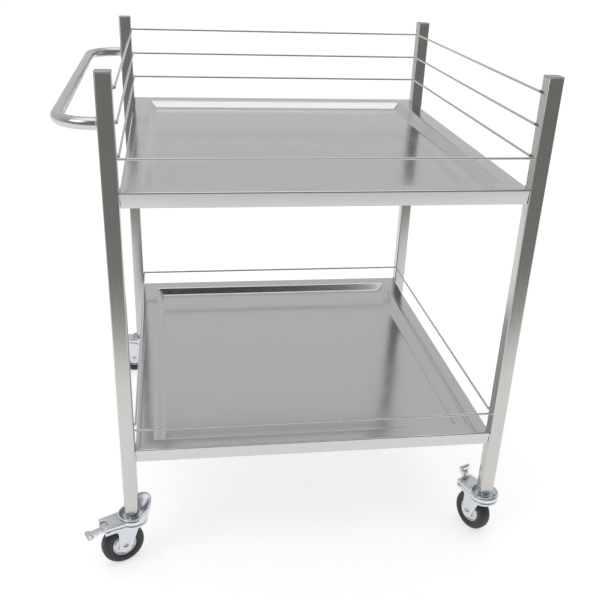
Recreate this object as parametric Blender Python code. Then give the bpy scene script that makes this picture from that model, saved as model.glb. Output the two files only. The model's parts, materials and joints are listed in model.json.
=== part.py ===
"""Two-tier stainless instrument cart: square-tube posts, two pressed trays, rod guard rails,
a side push handle and four braked swivel casters. Metres, +Z up, origin on the floor at the
centre of the footprint; the handle is on the -X side and the front faces -Y."""

import math

import bmesh
import bpy
from mathutils import Matrix, Vector

# ---- Driving dimensions (metres) -----------------------------------------------------------
LENGTH = 0.700  # outside the posts, along X
DEPTH = 0.750  # outside the posts, along Y
GAP = 0.0003  # daylight left between pieces that touch or are welded together

# Posts: square tube, tops closed by a welded plate
POST = 0.025
POST_WALL = 0.0015
POST_CORNER = 0.0025
POST_LENGTH = 0.775

# Trays: pressed sheet with a turned-down apron, a flat rim and a bevel down to the floor
SHEET = 0.0012
APRON = 0.025
APRON_INSET = 0.0008  # the apron sits this far behind the posts' outer faces
EDGE_RADIUS = 0.003
TRAY_CORNER = 0.002
RIM = 0.034
BEVEL_RUN = 0.015
BEVEL_DEPTH = 0.015
TOP_TRAY_RISE = 0.600  # from the posts' feet to the rim
LOWER_TRAY_RISE = 0.136

# Guard rails: round rod
ROD = 0.004
ROD_BEND = 0.006
ROD_LAP = 0.006  # how far a corner rail runs along the inner face of a front post
FRONT_ROD_EDGE = 0.0035  # from the posts' front faces to the front rod's centre line
TOP_RAIL_RISES = {"low": 0.650, "middle": 0.700, "high": 0.750}
LOWER_RAIL_RISE = 0.176

# Push handle: round tube bent to a U, welded to the two left posts
HANDLE_TUBE = 0.019
HANDLE_WALL = 0.0015
HANDLE_REACH = 0.064  # from the posts' faces to the grip's centre line
HANDLE_BEND = 0.060
HANDLE_RISE = 0.700

# Casters
WHEEL_DIAMETER = 0.080
TYRE_WIDTH = 0.025
RIM_DIAMETER = 0.046
HUB_DIAMETER = 0.024
TRAIL = 0.022
SIDE_CLEARANCE = 0.0022
CROWN_CLEARANCE = 0.0045  # between the tyre and the underside of the fork's crown
FORK_SHEET = 0.0025
COVER_SHEET = 0.0018
BOWL_DEPTH = 0.0065
BOWL_RADIUS = 0.0180
BOWL_TAPER = 0.0042
COLLAR_RADIUS = 0.0262  # inside the outer skirt
COLLAR_BEAD = 0.0035
COVER_SKIRT = 0.005
POST_CLEARANCE = 0.0104  # between the cover's plate and the post's foot
TONGUE_REACH = 0.060
TONGUE_CORNER = 0.004
CHEEK_RADIUS = 0.0125
CHEEK_DROP = 0.006  # from the crown's underside to the cheeks' lower edge under the tongue
CHEEK_TAIL = 0.013  # how far the cheeks' upper corner lies behind the stem
AXLE_BOLT = 0.010
BOLT_HEAD = 0.012
BOLT_HEAD_LENGTH = 0.0045
NUT_ACROSS = 0.0150
NUT_LENGTH = 0.0055
STEM = 0.010
STEM_HEAD = 0.018
STEM_HEAD_LENGTH = 0.004
COLLAR_STEP = 0.0005  # from the post's faces in to the edge of the stem's collar
STEM_INSERTION = 0.022
RACE_RADIUS = 0.0165
RACE_THICKNESS = 0.0026
SOCKET_LENGTH = 0.030
LEVER_PIVOT = 0.052
LEVER_LENGTH = 0.0325  # from the pivot to the middle of the head
LEVER_WIDTH = 0.013
LEVER_HEAD_WIDTH = 0.020
LEVER_HEAD_REACH = 0.011
LEVER_HEAD = 0.0066  # its thickness
LEVER_BOSS = 0.0045
LEVER_PIN = 0.004
CLEARANCE = 0.0004  # running clearance on a radius
LEVER_PLAY = 0.001  # between the lever and each side of its slot

LEVER_DOWN = -8.0  # degrees above level, braked
LEVER_UP = 75.0  # degrees above level, free

# Corner: X side, Y side, heading of the tongue in degrees, lever's angle, and how far the
# collar's tail stands up and leans out
CORNERS = {
    "front_left": (-1, -1, 205.0, LEVER_DOWN, (0.028, 0.011)),
    "front_right": (1, -1, 113.0, LEVER_UP, (0.0, 0.0)),
    "back_left": (-1, 1, 180.0, LEVER_UP, (0.0, 0.0)),
    "back_right": (1, 1, 150.0, LEVER_UP, (0.0, 0.0)),
}

# ---- Heights and places that follow ---------------------------------------------------------
AXLE_Z = WHEEL_DIAMETER / 2
CROWN_Z = WHEEL_DIAMETER + CROWN_CLEARANCE
BOWL_Z = CROWN_Z + FORK_SHEET + GAP
PLATE_Z = BOWL_Z + BOWL_DEPTH
PLATE_TOP = PLATE_Z + COVER_SHEET
POST_Z = PLATE_TOP + POST_CLEARANCE
POST_X = (LENGTH - POST) / 2
POST_Y = (DEPTH - POST) / 2
FORK_HALF = TYRE_WIDTH / 2 + SIDE_CLEARANCE + FORK_SHEET
PIVOT_Z = CROWN_Z - 0.0005
TRAY_HALF_X = LENGTH / 2 - POST - GAP
TRAY_HALF_Y = DEPTH / 2 - APRON_INSET
COLLAR_OUTSIDE = COLLAR_RADIUS + COVER_SHEET
RIM_RADIUS = BOWL_RADIUS + BOWL_TAPER
RACE_Z = BOWL_Z + COVER_SHEET + GAP
STEM_COLLAR = POST - 2 * COLLAR_STEP
# The cart's place: the middle of what lies between the grip and the right-hand casters
CENTRE_X = (HANDLE_REACH + HANDLE_TUBE / 2 - (COLLAR_OUTSIDE - POST / 2)) / 2

# Facets round each kind of piece
ROD_SIDES = 8
TUBE_SIDES = 14
WHEEL_SIDES = 24
HUB_SIDES = 20
SMALL_SIDES = 14
COLLAR_SIDES = 28


# ---- Scene and materials --------------------------------------------------------------------
def clear_scene():
    for old in list(bpy.data.objects):
        bpy.data.objects.remove(old, do_unlink=True)


def make_material(name, colour, roughness, metallic):
    made = bpy.data.materials.new(name)
    made.use_nodes = True
    shader = made.node_tree.nodes["Principled BSDF"]
    shader.inputs["Base Color"].default_value = (*colour, 1.0)
    shader.inputs["Roughness"].default_value = roughness
    shader.inputs["Metallic"].default_value = metallic
    return made


def make_object(name, bm, finish, parent=None):
    bmesh.ops.recalc_face_normals(bm, faces=bm.faces)
    mesh = bpy.data.meshes.new(name)
    bm.to_mesh(mesh)
    bm.free()
    mesh.shade_smooth()
    mesh.set_sharp_from_angle(angle=math.radians(30))
    made = bpy.data.objects.new(name, mesh)
    bpy.context.scene.collection.objects.link(made)
    if finish:
        made.data.materials.append(finish)
    if parent:
        made.parent = parent
    return made


def make_empty(name, place, turn, parent=None):
    made = bpy.data.objects.new(name, None)
    made.empty_display_size = 0.02
    made.location = place
    made.rotation_euler = turn
    made.parent = parent
    bpy.context.scene.collection.objects.link(made)
    return made


def boolean(target, tool, operation):
    """Unites a helper body with the target, or cuts it out; the helper isn't a piece itself."""
    tool.hide_render = True
    tool.display_type = "WIRE"
    step = target.modifiers.new(operation.lower(), "BOOLEAN")
    step.operation = operation
    step.solver = "EXACT"
    step.object = tool


# ---- Shapes ---------------------------------------------------------------------------------
def bridge(bm, first, second):
    count = len(first)
    for i in range(count):
        j = (i + 1) % count
        bm.faces.new((first[i], first[j], second[j], second[i]))


def loft(rings, closed=False):
    """Skins rings of points; a closed loft joins the last ring to the first, else ends are capped."""
    bm = bmesh.new()
    made = [[bm.verts.new(p) for p in ring] for ring in rings]
    for a, b in zip(made, made[1:]):
        bridge(bm, a, b)
    if closed:
        bridge(bm, made[-1], made[0])
    else:
        bm.faces.new(made[0])
        bm.faces.new(list(reversed(made[-1])))
    return bm


def rounded_rectangle(half_x, half_y, radius, steps=3):
    points = []
    for k, (sx, sy) in enumerate(((1, 1), (-1, 1), (-1, -1), (1, -1))):
        for i in range(steps + 1):
            a = math.pi / 2 * (k + i / steps)
            x = sx * (half_x - radius) + radius * math.cos(a)
            y = sy * (half_y - radius) + radius * math.sin(a)
            points.append((x, y))
    return points


def turned(profile, sides, phase=0.0):
    """Turns a profile of (radius, height) about Z; it starts and ends on the axis, or is a ring.
    The phase turns the facets, as a share of one."""
    def ring(radius, height):
        angles = [2 * math.pi * (i + phase) / sides for i in range(sides)]
        return [(radius * math.cos(a), radius * math.sin(a), height) for a in angles]

    if profile[0][0] > 0:
        return loft([ring(r, z) for r, z in profile], closed=True)
    bm = bmesh.new()
    rings = [[bm.verts.new(p) for p in ring(r, z)] for r, z in profile[1:-1]]
    for a, b in zip(rings, rings[1:]):
        bridge(bm, a, b)
    for (_, height), edge in ((profile[0], rings[0]), (profile[-1], rings[-1])):
        pole = bm.verts.new((0, 0, height))
        for i in range(sides):
            bm.faces.new((edge[i], edge[(i + 1) % sides], pole))
    return bm


def extruded(outline, low, high):
    """A flat outline in X and Y, from one height to another."""
    return loft([[(x, y, z) for x, y in outline] for z in (low, high)])


def arc(centre, radius, start, end, steps):
    """Points on an arc, in degrees, both ends included."""
    angles = [math.radians(start + (end - start) * i / steps) for i in range(steps + 1)]
    return [(centre[0] + radius * math.cos(a), centre[1] + radius * math.sin(a)) for a in angles]


def swept_rings(path, height, radius, sides):
    """Rings of a round bar whose centre line is a flat path at one height."""
    rings = []
    for i, point in enumerate(path):
        before = Vector(path[max(i - 1, 0)])
        after = Vector(path[min(i + 1, len(path) - 1)])
        along = (after - before).normalized()
        side = Vector((-along.y, along.x))
        ring = []
        for k in range(sides):
            a = 2 * math.pi * (k + 0.5) / sides
            x, y = Vector(point) + side * radius * math.cos(a)
            ring.append((x, y, height + radius * math.sin(a)))
        rings.append(ring)
    return rings


# ---- Frame ----------------------------------------------------------------------------------
def make_post(name, x, y, steel):
    """A square tube open at its foot, closed by a plate at its top."""
    top = POST_Z + POST_LENGTH
    soft = 0.0008
    outer = [(POST_Z, 0.0), (top - soft, 0.0), (top, soft)]
    inner = [(top - POST_WALL, POST_WALL), (POST_Z, POST_WALL)]
    rings = []
    for z, inset in outer + inner:
        corner = max(POST_CORNER - inset, POST_CORNER / 4)
        edge = rounded_rectangle(POST / 2 - inset, POST / 2 - inset, corner)
        rings.append([(x + px, y + py, z) for px, py in edge])
    bm = bmesh.new()
    made = [[bm.verts.new(p) for p in ring] for ring in rings]
    bridge(bm, made[0], made[1])
    bridge(bm, made[1], made[2])
    bm.faces.new(made[2])
    bm.faces.new(made[3])
    bridge(bm, made[3], made[4])
    bridge(bm, made[4], made[0])
    return make_object(name, bm, steel)


def make_tray(name, rim_z, steel):
    """One pressed sheet: floor, bevel, rim, rounded edge and apron, then back along its underside."""
    lean = SHEET * math.tan(math.atan2(BEVEL_DEPTH, BEVEL_RUN) / 2)
    steps = 3
    above = [(RIM + BEVEL_RUN, -BEVEL_DEPTH), (RIM, 0.0)]
    for i in range(steps + 1):
        a = math.pi / 2 * i / steps
        above.append((EDGE_RADIUS * (1 - math.sin(a)), EDGE_RADIUS * (math.cos(a) - 1)))
    above.append((0.0, -APRON))
    below = [(SHEET, -APRON)]
    inner = EDGE_RADIUS - SHEET
    for i in range(steps + 1):
        a = math.pi / 2 * (1 - i / steps)
        below.append((EDGE_RADIUS - inner * math.sin(a), inner * math.cos(a) - EDGE_RADIUS))
    below += [(RIM - lean, -SHEET), (RIM + BEVEL_RUN - lean, -BEVEL_DEPTH - SHEET)]
    rings = []
    for inset, drop in above + below:
        edge = rounded_rectangle(TRAY_HALF_X - inset, TRAY_HALF_Y - inset, TRAY_CORNER)
        rings.append([(x, y, rim_z + drop) for x, y in edge])
    return make_object(name, loft(rings), steel)


def make_corner_rail(name, z, steel):
    """A rod bent round the inner edges of the two back posts, ending on the two front posts."""
    side_x = LENGTH / 2 - POST - GAP - ROD / 2
    back_y = DEPTH / 2 - POST - GAP - ROD / 2
    front_y = -DEPTH / 2 + POST - ROD_LAP
    centre = (side_x - ROD_BEND, back_y - ROD_BEND)
    right = [(side_x, front_y), *arc(centre, ROD_BEND, 0, 90, 4)]
    left = [(-x, y) for x, y in reversed(right)]
    return make_object(name, loft(swept_rings(right + left, z, ROD / 2, ROD_SIDES)), steel)


def make_front_rail(name, z, steel):
    half = LENGTH / 2 - POST - GAP
    y = -DEPTH / 2 + FRONT_ROD_EDGE
    path = [(-half, y), (half, y)]
    return make_object(name, loft(swept_rings(path, z, ROD / 2, ROD_SIDES)), steel)


def make_handle(steel):
    """A bent tube, open at the ends that are welded to the posts' left faces."""
    start_x = -LENGTH / 2 - GAP
    grip_x = -LENGTH / 2 - HANDLE_REACH
    centre = (grip_x + HANDLE_BEND, POST_Y - HANDLE_BEND)
    back = [(start_x, POST_Y), *arc(centre, HANDLE_BEND, 90, 180, 6)]
    front = [(x, -y) for x, y in reversed(back)]
    path = back + front
    z = POST_Z + HANDLE_RISE
    outside = swept_rings(path, z, HANDLE_TUBE / 2, TUBE_SIDES)
    inside = swept_rings(path, z, HANDLE_TUBE / 2 - HANDLE_WALL, TUBE_SIDES)
    bm = loft(outside + list(reversed(inside)), closed=True)
    return make_object("push_handle", bm, steel)


# ---- Casters: built with the tongue along local +X, the axle along local Y ------------------
def make_stem(corner, spot, plated):
    """The bolt that the caster turns on: screwed into the post's foot, riveted over below."""
    shank = STEM / 2
    collar_low = RACE_Z + RACE_THICKNESS + GAP
    top = POST_Z + STEM_INSERTION
    profile = [
        (0, CROWN_Z - GAP - STEM_HEAD_LENGTH),
        (STEM_HEAD / 2 - 0.0015, CROWN_Z - GAP - STEM_HEAD_LENGTH),
        (STEM_HEAD / 2, CROWN_Z - GAP - STEM_HEAD_LENGTH / 2),
        (STEM_HEAD / 2, CROWN_Z - GAP),
        (shank, CROWN_Z - GAP),
        (shank, collar_low),
        (STEM_COLLAR / 2, collar_low),
        (STEM_COLLAR / 2, POST_Z - GAP),
        (shank, POST_Z - GAP),
        (shank, top),
        (0, top),
    ]
    return make_object(f"stem_{corner}", turned(profile, SMALL_SIDES), plated, spot)


def make_socket(corner, spot, plated):
    """The threaded block inside the post's foot that the stem screws into."""
    half = POST / 2 - POST_WALL - GAP
    corner_radius = max(POST_CORNER - POST_WALL, POST_CORNER / 4)
    block = extruded(rounded_rectangle(half, half, corner_radius), POST_Z + GAP, POST_Z + SOCKET_LENGTH)
    made = make_object(f"stem_socket_{corner}", block, plated, spot)
    bore = turned(
        [(0, POST_Z - 0.002), (STEM / 2 + GAP, POST_Z - 0.002),
         (STEM / 2 + GAP, POST_Z + STEM_INSERTION + GAP), (0, POST_Z + STEM_INSERTION + GAP)],
        SMALL_SIDES,
    )
    boolean(made, make_object(f"cut_socket_{corner}", bore, None, spot), "DIFFERENCE")
    return made


def make_race(corner, spot, plated):
    """The ball race that the cover turns under, held below the stem's collar."""
    low, high = RACE_Z, RACE_Z + RACE_THICKNESS
    bore = STEM / 2 + GAP
    profile = [(bore, low), (RACE_RADIUS, low), (RACE_RADIUS, (low + high) / 2),
               (RACE_RADIUS - 0.003, high), (bore, high)]
    return make_object(f"swivel_race_{corner}", turned(profile, SMALL_SIDES), plated, spot)


def collar_rings(tail_rise, tail_lean):
    """Rings of the cover's bowl and raised collar; the collar may stand up on its tail side."""
    hole = STEM / 2 + CLEARANCE
    t = COVER_SHEET
    crest = PLATE_TOP + COLLAR_BEAD
    section = [  # radius, height, share of the tail's rise
        (hole, BOWL_Z + t, 0.0),
        (BOWL_RADIUS, BOWL_Z + t, 0.0),
        (RIM_RADIUS, PLATE_TOP, 0.75),
        (RIM_RADIUS + 0.0012, crest, 1.0),
        (COLLAR_RADIUS, crest - 0.0006, 0.96),
        (COLLAR_OUTSIDE, PLATE_TOP - 0.001, 0.6),
        (COLLAR_OUTSIDE, PLATE_Z - COVER_SKIRT, 0.0),
        (COLLAR_RADIUS, PLATE_Z - COVER_SKIRT, 0.0),
        (COLLAR_RADIUS, PLATE_Z - t, 0.5),
        (COLLAR_RADIUS - 0.001, crest - t - 0.001, 0.92),
        (RIM_RADIUS + 0.0022, crest - t, 0.94),
        (RIM_RADIUS + 0.0014, PLATE_Z, 0.70),
        (BOWL_RADIUS + 0.0010, BOWL_Z, 0.0),
        (hole, BOWL_Z, 0.0),
    ]
    rings = []
    for radius, height, share in section:
        ring = []
        for i in range(COLLAR_SIDES):
            a = 2 * math.pi * i / COLLAR_SIDES
            tail = share * max(0.0, -math.cos(a)) ** 0.7
            r = radius + tail_lean * tail
            ring.append((r * math.cos(a), r * math.sin(a), height + tail_rise * tail))
        rings.append(ring)
    return rings


def tongue_outline(half, slot, root, tip):
    """The tongue's flat outline: it leaves the collar along an arc, narrows to a tip with round
    corners, and may have a slot that is open at the tip."""
    spread = 57
    points = arc((0, 0), root, spread, -spread, 8)
    corner = TONGUE_CORNER
    points += arc((tip - corner, -half + corner), corner, -90, 0, 2)
    if slot:
        slot_end = LEVER_PIVOT - 0.0025
        points += [(tip, -slot / 2), (slot_end, -slot / 2), (slot_end, slot / 2), (tip, slot / 2)]
    points += arc((tip - corner, half - corner), corner, 0, 90, 2)
    return points


def make_tongue(corner, spot):
    """The body of the tongue: a plate with its edges turned down, slotted for the lever."""
    root = RIM_RADIUS + 0.0012
    half = FORK_HALF + CLEARANCE
    slot = LEVER_WIDTH + 2 * LEVER_PLAY
    low = PLATE_Z - COVER_SKIRT
    shell = extruded(tongue_outline(half, slot, root, TONGUE_REACH), low, PLATE_TOP)
    inside = tongue_outline(half - COVER_SHEET, 0, root - COVER_SHEET, TONGUE_REACH - COVER_SHEET)
    made = make_object(f"add_tongue_{corner}", shell, None, spot)
    hollow = make_object(f"cut_tongue_{corner}", extruded(inside, low - 0.002, PLATE_Z), None, spot)
    boolean(made, hollow, "DIFFERENCE")
    return made


def make_cover(corner, spot, tail, plated):
    """The pressed top: a bowl and collar round the stem, and a skirted tongue for the brake."""
    bm = loft(collar_rings(*tail), closed=True)
    made = make_object(f"brake_cover_{corner}", bm, plated, spot)
    boolean(made, make_tongue(corner, spot), "UNION")
    return made


def cheek_outline():
    """One cheek of the fork, seen along the axle: X along the tongue, height up."""
    front = TRAIL + CHEEK_RADIUS
    top = CROWN_Z + FORK_SHEET
    lower = CROWN_Z - CHEEK_DROP
    tip = TONGUE_REACH - 0.001
    points = arc((TRAIL, AXLE_Z), CHEEK_RADIUS, 0, -165, 7)
    points += [(-CHEEK_TAIL / 2, lower), (-CHEEK_TAIL, top)]
    points += [(tip, top), (tip, lower), (front + 0.004, lower), (front, lower - 0.004)]
    return points


def cross_bore(tag, corner, spot, x, z, radius):
    """A cutter for a hole through both cheeks."""
    bore = turned([(0, -0.04), (radius, -0.04), (radius, 0.04), (0, 0.04)], SMALL_SIDES)
    place = Matrix.Translation((x, 0, z)) @ Matrix.Rotation(math.pi / 2, 4, "X")
    bmesh.ops.transform(bore, matrix=place, verts=bore.verts)
    return make_object(f"cut_{tag}_{corner}", bore, None, spot)


def make_fork(corner, spot, plated):
    """The pressed fork: a round crown with the stem's hole, and two cheeks that reach to the tip."""
    half = FORK_HALF - FORK_SHEET
    middle = half + FORK_SHEET / 2
    crown_end = LEVER_PIVOT - LEVER_BOSS - 0.004
    meet = 50  # degrees from the tongue's line to where the round crown meets the cheeks
    outline = [(crown_end, -middle), (crown_end, middle)]
    outline += arc((0, 0), COLLAR_OUTSIDE - 0.0004, meet, 360 - meet, 16)
    crown = extruded(outline, CROWN_Z, CROWN_Z + FORK_SHEET)
    made = make_object(f"fork_{corner}", crown, plated, spot)
    for side in (-1, 1):
        low, high = sorted((side * half, side * FORK_HALF))
        bm = loft([[(x, y, z) for x, z in cheek_outline()] for y in (low, high)])
        boolean(made, make_object(f"add_cheek_{corner}_{side}", bm, None, spot), "UNION")
    stem = STEM / 2 + CLEARANCE
    reach = 0.01
    hole = turned([(0, CROWN_Z - reach), (stem, CROWN_Z - reach), (stem, CROWN_Z + reach),
                   (0, CROWN_Z + reach)], SMALL_SIDES)
    boolean(made, make_object(f"cut_stem_{corner}", hole, None, spot), "DIFFERENCE")
    axle = cross_bore("axle", corner, spot, TRAIL, AXLE_Z, AXLE_BOLT / 2 + GAP)
    boolean(made, axle, "DIFFERENCE")
    pin = cross_bore("pin", corner, spot, LEVER_PIVOT, PIVOT_Z, LEVER_PIN / 2 + GAP)
    boolean(made, pin, "DIFFERENCE")
    return made


def make_axle(corner, axle, plated):
    """A bolt with a domed head on the near cheek and a nut on the far one."""
    face = FORK_HALF + GAP
    tail = FORK_HALF + NUT_LENGTH + 0.0015
    head = face + BOLT_HEAD_LENGTH
    profile = [
        (0, -head),
        (BOLT_HEAD / 2 - 0.002, -head),
        (BOLT_HEAD / 2, -head + 0.0015),
        (BOLT_HEAD / 2, -face),
        (AXLE_BOLT / 2, -face),
        (AXLE_BOLT / 2, tail),
        (0, tail),
    ]
    bolt = make_object(f"axle_bolt_{corner}", turned(profile, SMALL_SIDES), plated, axle)
    flat = NUT_ACROSS / 2
    outer, inner = [], []
    for i in range(12):
        a = math.pi / 6 * i
        reach = flat if i % 2 else flat / math.cos(math.pi / 6)
        outer.append((reach * math.cos(a), reach * math.sin(a)))
        inner.append(((AXLE_BOLT / 2 + GAP) * math.cos(a), (AXLE_BOLT / 2 + GAP) * math.sin(a)))
    low, high = face, face + NUT_LENGTH
    section = ((outer, low), (outer, high), (inner, high), (inner, low))
    rings = [[(x, y, z) for x, y in shape] for shape, z in section]
    nut = make_object(f"axle_nut_{corner}", loft(rings, closed=True), plated, axle)
    return bolt, nut


def make_wheel(corner, axle, plated, rubber):
    """A pressed hub disc on a sleeve, and a tyre with a rounded tread."""
    bore, boss, rim = AXLE_BOLT / 2 + CLEARANCE, HUB_DIAMETER / 2, RIM_DIAMETER / 2
    boss_half = TYRE_WIDTH / 2 + SIDE_CLEARANCE - 0.0006
    web, flange = 0.0035, TYRE_WIDTH / 2 - 0.002
    right = [(rim, flange), (rim - 0.002, flange), (rim - 0.0045, web), (boss, web),
             (boss - 0.002, 0.009), (bore + 0.004, boss_half), (bore, boss_half)]
    left = [(r, -z) for r, z in reversed(right)]
    hub = make_object(f"wheel_hub_{corner}", turned(left + right, HUB_SIDES), plated, axle)
    # The facets lie on the tread's true circle, and the lowest of them lies flat on the floor.
    outside = WHEEL_DIAMETER / 2 / math.cos(math.pi / WHEEL_SIDES)
    inside, half, shoulder = rim + GAP, TYRE_WIDTH / 2, 0.0075
    steps = 3
    side = [(inside, -half + 0.003), (inside + 0.004, -half)]
    for i in range(steps + 1):
        a = math.pi / 2 * i / steps
        side.append((outside - shoulder * (1 - math.sin(a)), -half + shoulder * (1 - math.cos(a))))
    profile = side + [(r, -z) for r, z in reversed(side)]
    tyre = make_object(f"tyre_{corner}", turned(profile, WHEEL_SIDES, 0.5), rubber, axle)
    return hub, tyre


def make_lever(corner, pivot, plated):
    """A stamped arm on a boss, with a rolled head for the foot; local +X runs along the arm."""
    width = LEVER_WIDTH / 2
    reach = LEVER_LENGTH
    arm = arc((0, 0), LEVER_BOSS, 60, 300, 8)
    arm += [(0.012, -0.0032), (reach, -0.0026), (reach, 0.0022), (0.012, 0.0034)]
    bm = loft([[(x, y, z) for x, z in arm] for y in (-width, width)])
    made = make_object(f"brake_lever_{corner}", bm, plated, pivot)
    flat = (LEVER_HEAD_REACH - LEVER_HEAD) / 2
    head = arc((reach + flat, 0), LEVER_HEAD / 2, -90, 90, 5)
    head += arc((reach - flat, 0), LEVER_HEAD / 2, 90, 270, 5)
    half = LEVER_HEAD_WIDTH / 2
    bm = loft([[(x, y, z) for x, z in head] for y in (-half, half)])
    boolean(made, make_object(f"add_head_{corner}", bm, None, pivot), "UNION")
    eye, reach = LEVER_PIN / 2 + CLEARANCE, 0.02
    bore = turned([(0, -reach), (eye, -reach), (eye, reach), (0, reach)], 12)
    bmesh.ops.transform(bore, matrix=Matrix.Rotation(math.pi / 2, 4, "X"), verts=bore.verts)
    boolean(made, make_object(f"cut_lever_{corner}", bore, None, pivot), "DIFFERENCE")
    return made


def make_pin(corner, pivot, plated):
    """The rivet that the lever turns on, from cheek to cheek."""
    face = FORK_HALF + GAP
    head = LEVER_PIN / 2 + 0.0012
    shank = LEVER_PIN / 2
    profile = [(0, -face - 0.0012), (head, -face - 0.0012), (head, -face), (shank, -face)]
    profile += [(r, -z) for r, z in reversed(profile)]
    bm = turned(profile, 12)
    bmesh.ops.transform(bm, matrix=Matrix.Rotation(math.pi / 2, 4, "X"), verts=bm.verts)
    return make_object(f"lever_pin_{corner}", bm, plated, pivot)


def make_caster(corner, plated, rubber):
    side_x, side_y, heading, lever_angle, tail = CORNERS[corner]
    foot = make_empty(f"foot_{corner}", (side_x * POST_X, side_y * POST_Y, 0), (0, 0, 0))
    spot = make_empty(f"swivel_{corner}", (0, 0, 0), (0, 0, math.radians(heading)), foot)
    axle = make_empty(f"axle_{corner}", (TRAIL, 0, AXLE_Z), (math.radians(90), 0, 0), spot)
    pivot = make_empty(f"pivot_{corner}", (LEVER_PIVOT, 0, PIVOT_Z), (0, 0, 0), spot)
    arm = make_empty(f"arm_{corner}", (0, 0, 0), (0, -math.radians(lever_angle), 0), pivot)
    make_stem(corner, foot, plated)
    make_socket(corner, foot, plated)
    make_race(corner, foot, plated)
    make_cover(corner, spot, tail, plated)
    make_fork(corner, spot, plated)
    make_axle(corner, axle, plated)
    make_wheel(corner, axle, plated, rubber)
    make_lever(corner, arm, plated)
    make_pin(corner, pivot, plated)


def main():
    clear_scene()
    brushed = make_material("brushed_stainless", (0.62, 0.61, 0.60), 0.32, 1.0)
    bright = make_material("bright_stainless", (0.74, 0.74, 0.74), 0.22, 1.0)
    plated = make_material("zinc_plate", (0.66, 0.68, 0.71), 0.30, 1.0)
    rubber = make_material("black_rubber", (0.045, 0.045, 0.047), 0.62, 0.0)
    for corner, (side_x, side_y, *_) in CORNERS.items():
        make_post(f"post_{corner}", side_x * POST_X, side_y * POST_Y, brushed)
        make_caster(corner, plated, rubber)
    make_tray("top_tray", POST_Z + TOP_TRAY_RISE, brushed)
    make_tray("lower_tray", POST_Z + LOWER_TRAY_RISE, brushed)
    for level, rise in TOP_RAIL_RISES.items():
        make_corner_rail(f"top_rail_{level}", POST_Z + rise, bright)
    make_front_rail("top_rail_front", POST_Z + TOP_RAIL_RISES["low"], bright)
    make_corner_rail("lower_rail", POST_Z + LOWER_RAIL_RISE, bright)
    make_front_rail("lower_rail_front", POST_Z + LOWER_RAIL_RISE, bright)
    make_handle(brushed)
    cart = make_empty("cart", (CENTRE_X, 0, 0), (0, 0, 0))
    for made in list(bpy.context.scene.objects):
        if made.parent is None and made != cart:
            made.parent = cart


main()
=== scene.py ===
import json
import math
import random

import bmesh
import bpy
from mathutils import Matrix, Vector


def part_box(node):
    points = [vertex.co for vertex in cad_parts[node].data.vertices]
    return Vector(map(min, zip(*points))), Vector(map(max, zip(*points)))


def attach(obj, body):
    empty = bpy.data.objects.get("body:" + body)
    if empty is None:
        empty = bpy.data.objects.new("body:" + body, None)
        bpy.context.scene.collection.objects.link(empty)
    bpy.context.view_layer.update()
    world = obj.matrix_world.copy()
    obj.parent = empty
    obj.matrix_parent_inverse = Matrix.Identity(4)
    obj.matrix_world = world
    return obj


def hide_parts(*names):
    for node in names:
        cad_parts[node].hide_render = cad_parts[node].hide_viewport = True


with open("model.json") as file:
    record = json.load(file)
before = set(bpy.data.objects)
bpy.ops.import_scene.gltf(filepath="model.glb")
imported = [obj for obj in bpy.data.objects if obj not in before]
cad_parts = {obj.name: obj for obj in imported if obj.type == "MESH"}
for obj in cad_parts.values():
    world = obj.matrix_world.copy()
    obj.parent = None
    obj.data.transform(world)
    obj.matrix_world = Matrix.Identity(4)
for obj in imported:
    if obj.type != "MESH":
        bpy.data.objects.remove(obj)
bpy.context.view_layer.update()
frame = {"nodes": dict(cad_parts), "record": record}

ROOT = "cart_frame"
CORNERS = ("front_left", "front_right", "back_left", "back_right")
BRAKED = "front_left"  # the caster whose lever is pressed down
JOINTS = {joint["name"]: joint for joint in frame["record"]["behaviour"]["joints"]}

# Sheet, tube and rod, in metres
POST_CORNER = 0.0028
POST_WALL = 0.0015
CAP_THICKNESS = 0.0022
CAP_EDGE = 0.0013
SHEET = 0.0012
APRON_DROP = 0.025
APRON_EDGE = 0.0030
FOLD = 0.010
APRON_LEAN = 0.0014  # how far the apron leans in at its lower edge
RIM = 0.034
BEVEL_RUN = 0.015
BEVEL_DEPTH = 0.015
ROD_BEND = 0.006
HANDLE_RADIUS = 0.0095
HANDLE_BEND = 0.060
HANDLE_WALL = 0.0015
HANDLE_LEG_Y = 0.3625  # the handle's legs stand on the middle of the posts

# Casters: heights above the floor and distances from the stem's axis
TRAIL = 0.022
AXLE_Z = 0.040
WHEEL_RADIUS = 0.040
TYRE_HALF = 0.0125
TYRE_CROWN = 0.0315  # the radius where the tread's round section starts
TYRE_FLAT = 0.0030
RIM_RADIUS = 0.023
FORK_HALF = 0.0172
FORK_SHEET = 0.0025
CHEEK_END = 0.0125  # the radius of the cheeks round the axle
CROWN_Z = 0.0845
CROWN_TOP = CROWN_Z + FORK_SHEET
BOWL_Z = CROWN_TOP + 0.0003
COVER_SHEET = 0.0018
PLATE_TOP = 0.0956
SKIRT_Z = 0.0888
BOWL_RADIUS = 0.0180
BOWL_RIM = 0.0222
COLLAR_RADIUS = 0.0280
COLLAR_CREST = PLATE_TOP + 0.0035
LOBE_RISE, LOBE_LEAN = 0.028, 0.011  # the braked caster's raised tail
LOBE_START, LOBE_POWER = 0.12, 1.15  # where round the collar it starts, and how softly
TONGUE_HALF = 0.0176
TONGUE_REACH = 0.060
TONGUE_ROOT = (0.0185, 0.0196)  # where the tongue's side starts, under the collar
TONGUE_CORNER = 0.004
LEVER_SLOT = 0.0075  # half of the slot's width
LEVER_PIVOT = 0.052
PIVOT_Z = 0.084
LEVER_REACH = 0.0325
LEVER_DOWN, LEVER_UP = -8.0, 75.0  # degrees above level
LEVER_HALF = 0.0064
LEVER_HOLE = 0.0150  # from the pivot to the small hole
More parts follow.
